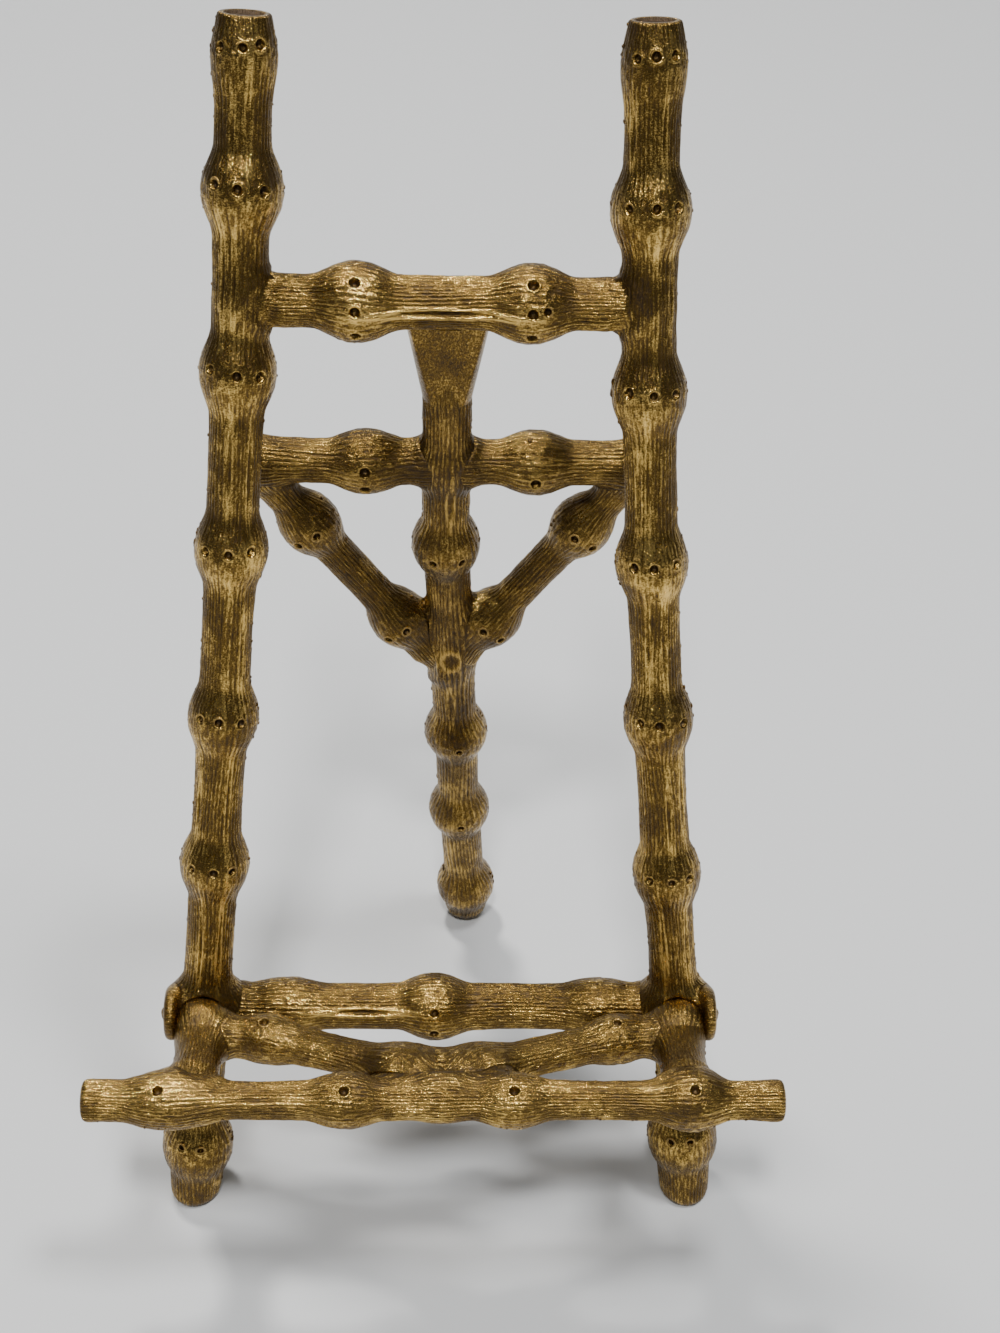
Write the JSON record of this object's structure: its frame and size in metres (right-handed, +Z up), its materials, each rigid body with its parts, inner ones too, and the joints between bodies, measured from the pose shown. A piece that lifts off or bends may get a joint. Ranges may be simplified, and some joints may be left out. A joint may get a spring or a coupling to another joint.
{
  "type": "display easel",
  "caption": "Folding tabletop display easel of cast bamboo-look canes: splayed stiles and rails, a swinging rear leg and a fold-up ledge with a front bar.",
  "frame": {"origin": "middle of the floor rectangle under the whole easel, on the floor", "axes": "+Z up, +X to the right of somebody facing the easel's front, +Y to the back, where the leg stands"},
  "size_m": [0.1168, 0.0934, 0.2049],
  "materials": {
    "antique_gilt_frame": "antique gilt, rubbed, satin",
    "antique_gilt_leg": "antique gilt, rubbed, satin",
    "antique_gilt_ledge": "antique gilt, rubbed, satin",
    "gilt_pin": "dull, worn"
  },
  "bodies": {
    "frame": {"bottom_rail": "antique_gilt_frame", "left_ledge_pin": "gilt_pin", "left_stile": "antique_gilt_frame", "leg_hinge_lug": "antique_gilt_frame", "right_ledge_pin": "gilt_pin", "right_stile": "antique_gilt_frame", "upper_rail": "antique_gilt_frame"},
    "leg": {"leg_fork": "antique_gilt_leg", "leg_hinge_pin": "gilt_pin", "leg_left_brace": "antique_gilt_leg", "leg_left_crossbar": "antique_gilt_leg", "leg_post": "antique_gilt_leg", "leg_right_brace": "antique_gilt_leg", "leg_right_crossbar": "antique_gilt_leg"},
    "ledge": {"front_bar": "antique_gilt_ledge", "left_arm": "antique_gilt_ledge", "left_ledge_brace": "antique_gilt_ledge", "right_arm": "antique_gilt_ledge", "right_ledge_brace": "antique_gilt_ledge"}
  },
  "joints": [
    {"name": "leg_swing", "type": "hinge", "parent": "frame", "child": "leg", "pos_m": [0.0012, 0.02447, 0.16035], "axis": [-1, 0, 0], "range_deg": [0, 18.5]},
    {"name": "ledge_fold", "type": "hinge", "parent": "frame", "child": "ledge", "pos_m": [0.0012, -0.02327, 0.04363], "axis": [-1, 0, 0], "range_deg": [0, 85]}
  ]
}
